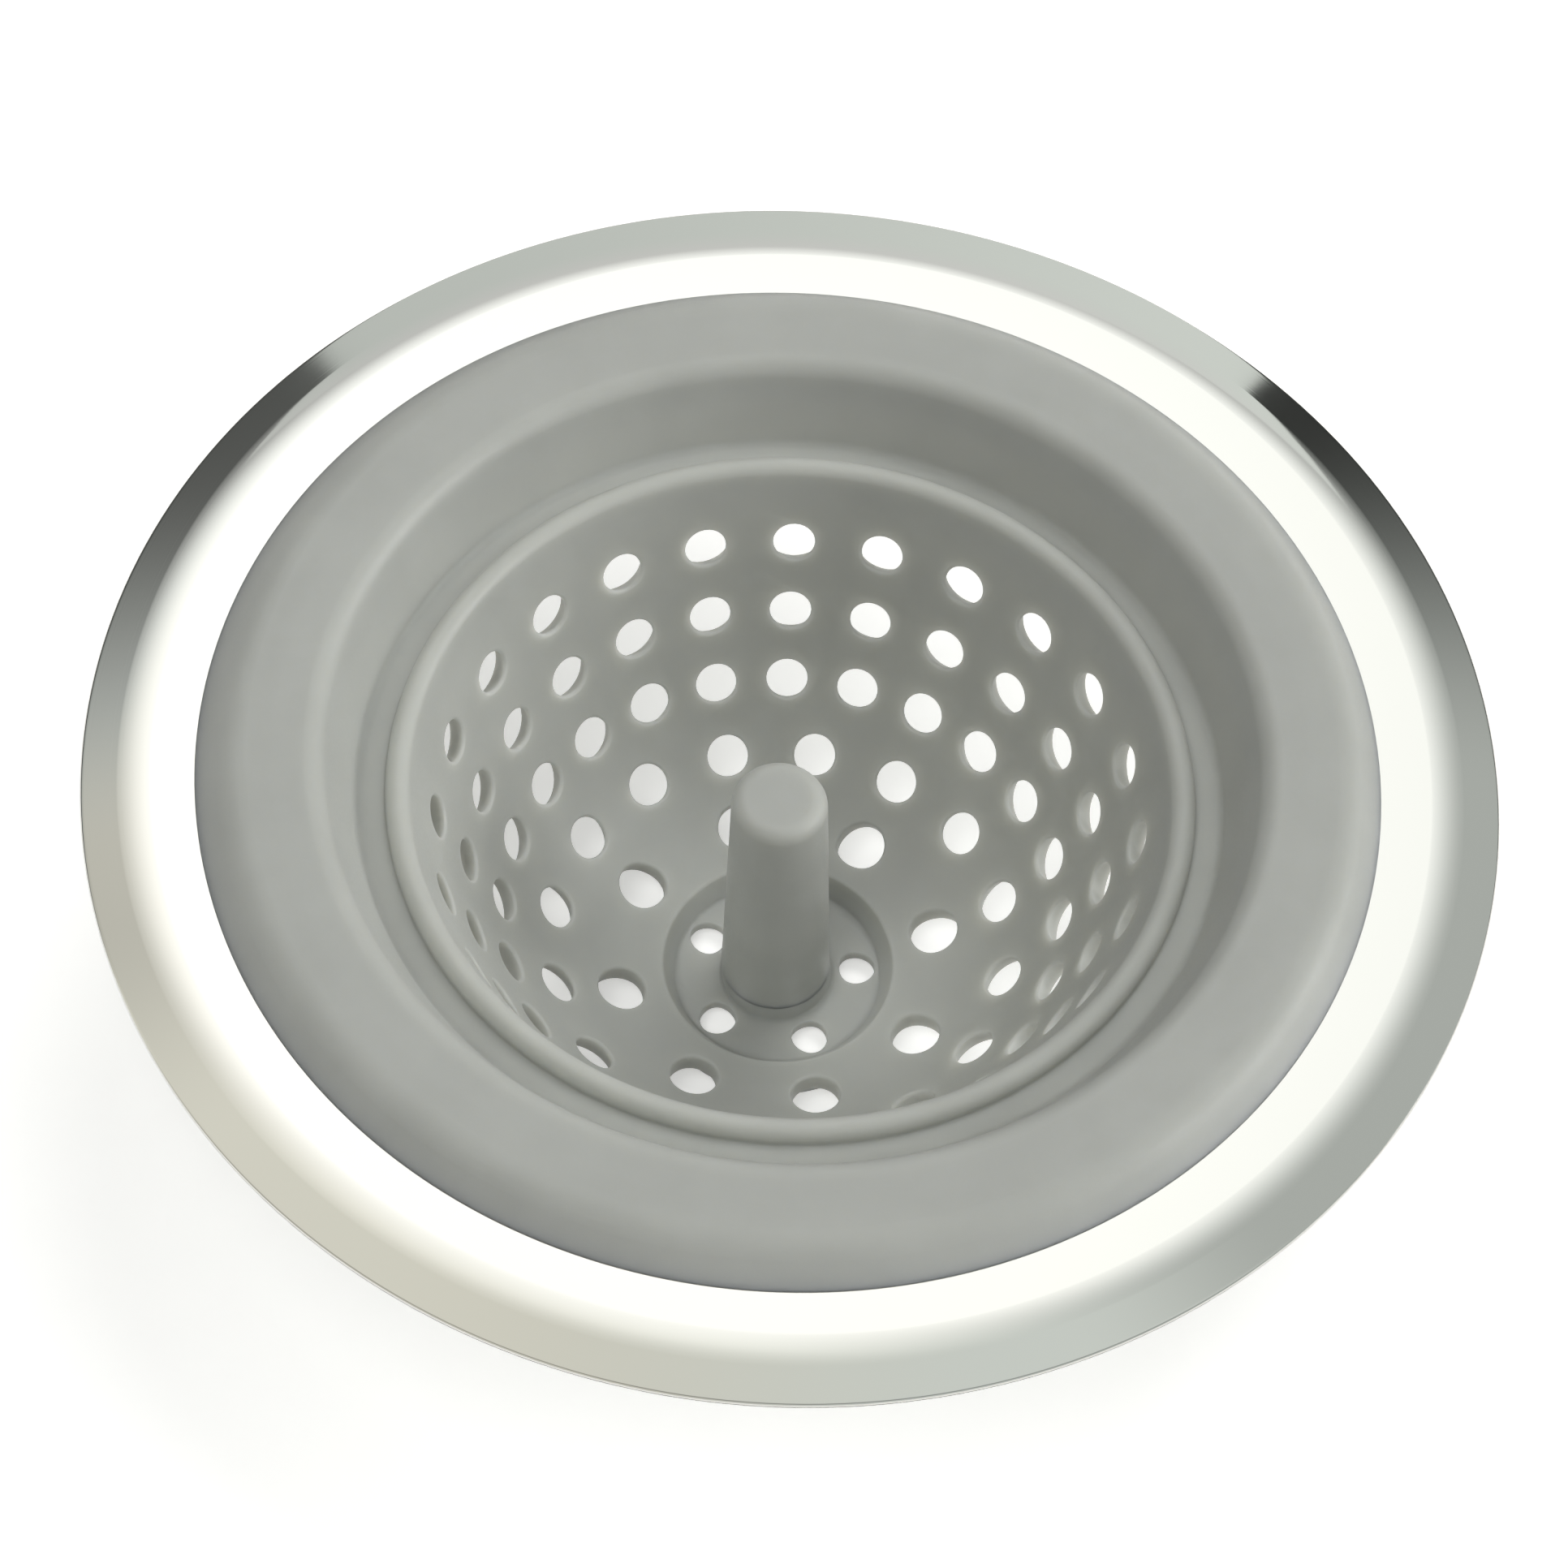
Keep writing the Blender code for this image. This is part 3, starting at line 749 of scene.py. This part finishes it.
class STRAINER_OT_moulding(Operator):
    """Build the moulding in one: collar, bead, perforated wall, recess, foot and the post's root"""
    bl_idname = "strainer.moulding"
    bl_label = "Moulding"

    def rows(self, bowl):
        """The wall's rows of cells, which share their borders; the lowest stop short of the foot behind."""
        places = bowl.row_places
        counts = bowl.row_counts
        borders = [places[0] - TOP_MARGIN]
        borders += [(above + below) / 2 for above, below in zip(places, list(places)[1:])]
        borders.append(places[-1] + LOW_MARGIN)
        rows = []
        for index, count in enumerate(counts):
            lowest = index == len(places) - 1
            top = borders[index]
            bottom = borders[index + 1]
            if index > 0 and counts[index - 1] != count:
                top += SEAM
            if not lowest and counts[index + 1] != count:
                bottom -= SEAM
            rows.append(Row(
                count=count,
                middle=places[index],
                radius=bowl.low_hole_radius if lowest else bowl.hole_radius,
                flare=0.0 if lowest else bowl.hole_flare,
                turn=bowl.row_turns[index],
                top=top,
                bottom=bottom,
                back_top=top + TOP_DROP if index == 0 else top,
                back_bottom=places[-1] + LOW_MARGIN_BACK if lowest else bottom,
                down=WALL_CELL_STEPS,
            ))
        return rows

    def build_floor(self, shape, floor, post):
        """The recess's floor, as one row of cells round the post's root."""
        inner = post.base_radius + post.base_round + ROOT_MARGIN
        outer = floor.radius - FLOOR_MARGIN
        if floor.hole_circle - inner < floor.hole_radius + floor.hole_round + SUPPORT:
            raise RuntimeError("the drain holes run into the post")
        row = Row(
            count=floor.hole_count,
            middle=floor.hole_circle,
            radius=floor.hole_radius,
            flare=0.0,
            turn=floor.hole_turn,
            top=inner,
            bottom=outer,
            back_top=inner,
            back_bottom=outer,
            down=FLOOR_CELL_STEPS,
        )

        def place(turn, along, depth):
            return at_turn(turn, (along, floor.top - depth))

        def radius_at(along, depth):
            return along

        perforate(shape, row, place, radius_at, floor.top - floor.bottom, floor.hole_round)
        phase = first_turn(row)
        bridge(shape, [ring_of(shape, (radius, floor.bottom), phase) for radius in (0, inner / 2, inner)])
        root = outline([
            (2 * inner, floor.top),
            (post.base_radius, floor.top, post.base_round),
            (post_radius(post, floor, post.root_top), post.root_top, CRISP),
            (0, post.root_top),
        ], closed=False)
        # The profile starts at the row of cells, instead of further out
        root[:2] = [Vector((inner, floor.top))]
        rings = [ring_of(shape, point, phase) for point in root]
        bridge(shape, rings)
        lean_post([vertex for ring in rings for vertex in ring], post, floor)
        return row

    def execute(self, context):
        bowl = context.scene.strainer.bowl
        floor = context.scene.strainer.floor
        collar = context.scene.strainer.collar
        ring = context.scene.strainer.ring
        curve = WallCurve(bowl)
        rows = self.rows(bowl)
        if any(AROUND % count for count in (*bowl.row_counts, floor.hole_count)):
            raise RuntimeError("the number of holes in each row has to divide " + str(AROUND))

        def place(turn, along, depth):
            return at_turn(turn, curve.at(along, depth))

        def radius_at(along, depth):
            return curve.at(along, depth).x

        shape = bmesh.new()
        for row in rows:
            perforate(shape, row, place, radius_at, bowl.wall, bowl.hole_round)
        upper_phase = first_turn(rows[0])
        lower_phase = first_turn(rows[-1], upper_phase)

        # Between rows with different numbers of holes, where the points turn by a fraction of a step
        for above, below in zip(rows, rows[1:]):
            if above.count == below.count:
                continue
            for depth in (0, bowl.wall):
                bridge(shape, [
                    ring_of(shape, curve.at(above.bottom, depth), first_turn(above)),
                    ring_of(shape, curve.at(below.top, depth), first_turn(below, first_turn(above))),
                ])

        # Up the inner face and over the bead
        top = [curve.at(rows[0].top * (1 - step / NECK_STEPS), 0) for step in range(NECK_STEPS + 1)]
        bead = Vector((bowl.bead_centre, bowl.bead_height))
        sweep = math.pi / 2 + bowl.wall_angle
        steps = math.ceil(sweep / ARC_STEP)
        for step in range(1, steps + 1):
            turn = sweep * (1 - step / steps)
            top.append(bead + bowl.bead_radius * Vector((math.cos(turn), math.sin(turn))))

        # Across the ledge, over the crown, round the steel and back to the wall under the ledge
        flank = bowl.bead_centre + bowl.bead_radius
        steel_top = ring.face_height - EMBED
        steel_bottom = ring.face_height - ring.sheet + EMBED
        side_height = collar.crown_height - collar.crown_bow
        crown_middle = (collar.crown_radius + collar.throat_radius) / 2
        behind_ledge = curve.at(rows[0].back_top - WALL_ROOT, bowl.wall)
        top += outline([
            (flank, bowl.bead_height - FLANK_START),
            (flank, collar.ledge_height, collar.bead_fillet),
            (collar.ledge_radius, collar.ledge_height - collar.ledge_fall, collar.ledge_round),
            (collar.throat_radius, side_height, collar.crown_round),
            (crown_middle, collar.crown_height, collar.bow_round),
            (collar.crown_radius, side_height, collar.shoulder_round),
            (collar.outer_radius, ring.face_height + collar.jaw, collar.jaw_round),
            (collar.outer_radius, steel_top, CRISP),
            (ring.web_radius, steel_top, HIDDEN_ROUND),
            (ring.web_radius, steel_bottom, HIDDEN_ROUND),
            (collar.pad_radius, steel_bottom, HIDDEN_ROUND),
            (collar.pad_radius, collar.pad_bottom, collar.pad_round),
            (collar.plug_top, collar.pad_bottom, collar.plug_round),
            (collar.plug_bottom, collar.ledge_bottom, collar.plug_round),
            (behind_ledge.x, collar.ledge_bottom, collar.root_round),
            tuple(curve.at(rows[0].back_top, bowl.wall)),
        ], closed=False)
        bridge(shape, [ring_of(shape, point, upper_phase) for point in top])

        # Over the recess's rim, down its side to the floor, and from the floor's underside round the foot
        cells = self.build_floor(shape, floor, context.scene.strainer.post)
        floor_phase = first_turn(cells, lower_phase)
        side = [curve.at(rows[-1].bottom, 0), curve.at((rows[-1].bottom + curve.length) / 2, 0)]
        side += outline([
            tuple(curve.at(curve.length - RIM_APPROACH, 0)),
            (bowl.recess_radius, bowl.recess_height, bowl.recess_round),
            (floor.radius + FLOOR_CORNER, floor.top + FLOOR_CORNER),
        ], closed=False)
        rings = [ring_of(shape, point, lower_phase) for point in side]
        bridge(shape, rings + [ring_of(shape, (cells.bottom, floor.top), floor_phase)])
        behind = curve.at(rows[-1].back_bottom, bowl.wall)
        foot = outline([
            (bowl.foot_bore - BORE_MARGIN, floor.bottom),
            (bowl.foot_bore, floor.bottom, bowl.bore_round),
            (bowl.foot_bore, 0, bowl.bore_round),
            (bowl.foot_radius, 0, bowl.foot_round),
            (bowl.foot_radius, behind.y, bowl.foot_root_round),
            tuple(behind),
        ], closed=False)
        rings = [ring_of(shape, point, lower_phase) for point in foot]
        bridge(shape, [ring_of(shape, (cells.bottom, floor.bottom), floor_phase)] + rings)

        piece = made_from(shape, "basket_moulding", silicone(context))
        # The soft upper jaw sits a little off centre on the steel
        slope_width = collar.outer_radius - collar.crown_radius
        for vertex in piece.data.vertices:
            if vertex.co.z > steel_top:
                share = (vertex.co.xy.length - collar.crown_radius) / slope_width
                vertex.co.xy += max(0, share) * Vector(collar.jaw_shift)
        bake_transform(piece)
        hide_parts("collar", "bowl_wall", "bowl_floor")
        return {"FINISHED"}


class STRAINER_OT_post(Operator):
    """Turn the grip post above its root, in place of the CAD post"""
    bl_idname = "strainer.post"
    bl_label = "Grip post"

    def execute(self, context):
        post = context.scene.strainer.post
        floor = context.scene.strainer.floor
        foot = post.root_top - EMBED
        points = outline([
            (0, post.height),
            (post.top_radius, post.height, post.top_round),
            (post_radius(post, floor, foot), foot, CRISP),
            (0, foot),
        ], closed=False)
        # The last four points are the foot's, and the one before them ends the top's rounding
        shoulder, ankle = points[-5:-3]
        points[-4:-4] = [shoulder.lerp(ankle, step / POST_STEPS) for step in range(1, POST_STEPS)]
        piece = turned("basket_post", points, silicone(context), closed=False)
        lean_post(piece.data.vertices, post, floor)
        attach(piece, BOTTOM_BODY)
        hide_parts("grip_post")
        return {"FINISHED"}


# Stage

def soft_lamp(name, place, share, glossy=False):
    """A far, wide lamp; at a share of 1, a surface that faces it shows its own colour."""
    turn, elevation = (math.radians(value) for value in place)
    lamp = bpy.data.lights.new(name, "SUN")
    lamp.angle = LAMP_WIDTH
    lamp.energy = share * math.pi
    obj = bpy.data.objects.new(name, lamp)
    obj.visible_glossy = glossy
    level = math.cos(elevation)
    from_basket = Vector((level * math.cos(turn), level * math.sin(turn), math.sin(elevation)))
    obj.location = from_basket
    obj.rotation_euler = (-from_basket).to_track_quat("-Z", "Y").to_euler()
    bpy.context.scene.collection.objects.link(obj)


def reflection_tent(material):
    """A vault of cloth over the basket. Its UVs are degrees to the right, and degrees up from the back."""
    shape = bmesh.new()
    layer = shape.loops.layers.uv.new()

    def place(across, up):
        across = math.radians(across)
        up = math.radians(up)
        level = math.cos(across)
        return TENT_REACH * Vector((math.sin(across), level * math.cos(up), level * math.sin(up)))

    for across in range(-TENT_SIDE, TENT_SIDE, TENT_STEP):
        for up in range(TENT_FOOT, 180 - TENT_FOOT, TENT_STEP):
            right = across + TENT_STEP
            higher = up + TENT_STEP
            corners = [(across, up), (right, up), (right, higher), (across, higher)]
            face = shape.faces.new([shape.verts.new(place(*corner)) for corner in corners])
            for loop, corner in zip(face.loops, corners):
                loop[layer].uv = corner
    mesh = bpy.data.meshes.new("reflection_tent")
    shape.to_mesh(mesh)
    shape.free()
    mesh.materials.append(material)
    tent = bpy.data.objects.new("reflection_tent", mesh)
    bpy.context.scene.collection.objects.link(tent)
    tent.visible_camera = False
    tent.visible_diffuse = False
    tent.visible_shadow = False


class STRAINER_OT_stage(Operator):
    """Lay the white table, set the lamps and place the camera"""
    bl_idname = "strainer.stage"
    bl_label = "Stage"

    def lay_table(self, scene, stage):
        """A round table whose faces look up."""
        shape = bmesh.new()
        bridge(shape, [ring_of(shape, (radius, -EMBED)) for radius in (stage.floor_radius, *TABLE_RINGS)])
        mesh = bpy.data.meshes.new("table")
        shape.to_mesh(mesh)
        shape.free()
        paper = shared_material("matt white paper", white_paper, stage.paper, stage.paper_lift)
        mesh.materials.append(paper)
        table = bpy.data.objects.new("table", mesh)
        scene.collection.objects.link(table)

    def light_room(self, scene, stage):
        """The white room: full white behind the basket and in the steel, plain light on everything."""
        world = bpy.data.worlds.new("white room")
        world.use_nodes = True
        tree = world.node_tree
        tree.nodes.clear()
        strength = add_node(
            tree, "ShaderNodeMapRange",
            {"Value": background_rays(tree), "To Min": stage.room_light, "To Max": 1.0},
        )
        room = add_node(tree, "ShaderNodeBackground", {"Strength": strength.outputs["Result"]})
        add_node(tree, "ShaderNodeOutputWorld", {"Surface": room.outputs[0]})
        scene.world = world

    def place_camera(self, scene, stage):
        back = Vector((0, -math.cos(stage.elevation), math.sin(stage.elevation)))
        right = Vector((1, 0, 0))
        up = back.cross(right)
        right_axis = math.cos(stage.roll) * right + math.sin(stage.roll) * up
        up_axis = math.cos(stage.roll) * up - math.sin(stage.roll) * right
        lens = bpy.data.cameras.new("camera")
        lens.sensor_width = stage.sensor
        lens.lens = stage.focal_length
        lens.clip_start = CLIP_START
        camera = bpy.data.objects.new("camera", lens)
        turn = Matrix((right_axis, up_axis, back)).transposed().to_4x4()
        camera.matrix_world = Matrix.Translation(Vector(stage.aim) + back * stage.distance) @ turn
        scene.collection.objects.link(camera)
        scene.camera = camera

    def execute(self, context):
        scene = context.scene
        stage = scene.strainer.stage
        self.lay_table(scene, stage)
        self.light_room(scene, stage)
        soft_lamp("side light", SIDE_LAMP, stage.side_light, glossy=True)
        soft_lamp("back light", BACK_LAMP, stage.back_light)
        soft_lamp("front light", FRONT_LAMP, stage.front_light)
        reflection_tent(shared_material("lit studio cloth", reflection_cloth))
        scene.view_settings.view_transform = "Standard"
        self.place_camera(scene, stage)
        return {"FINISHED"}


class STRAINER_PT_panel(Panel):
    """Sizes, colours and steps of the strainer basket"""
    bl_idname = "STRAINER_PT_panel"
    bl_label = "Sink strainer basket"
    bl_space_type = "VIEW_3D"
    bl_region_type = "UI"
    bl_category = "Strainer"

    def draw(self, context):
        settings = context.scene.strainer
        for part, steps in PARTS.items():
            box = self.layout.box()
            group = getattr(settings, part)
            for name in group.__annotations__:
                box.prop(group, name)
            for step in steps:
                box.operator(step)


# The groups of settings in the panel's order, and the steps listed after each
PARTS = {
    "ring": ("strainer.ring",),
    "collar": (),
    "bowl": (),
    "floor": ("strainer.moulding",),
    "post": ("strainer.post",),
    "finish": (),
    "stage": ("strainer.stage",),
}

CLASSES = (
    RingSettings,
    CollarSettings,
    BowlSettings,
    FloorSettings,
    PostSettings,
    FinishSettings,
    StageSettings,
    StrainerSettings,
    STRAINER_OT_ring,
    STRAINER_OT_moulding,
    STRAINER_OT_post,
    STRAINER_OT_stage,
    STRAINER_PT_panel,
)


def register():
    for item in CLASSES:
        bpy.utils.register_class(item)
    bpy.types.Scene.strainer = PointerProperty(type=StrainerSettings)


def unregister():
    del bpy.types.Scene.strainer
    for item in reversed(CLASSES):
        bpy.utils.unregister_class(item)


def main():
    register()
    bpy.ops.strainer.ring()
    bpy.ops.strainer.moulding()
    bpy.ops.strainer.post()
    bpy.ops.strainer.stage()


if __name__ == "__main__":
    main()
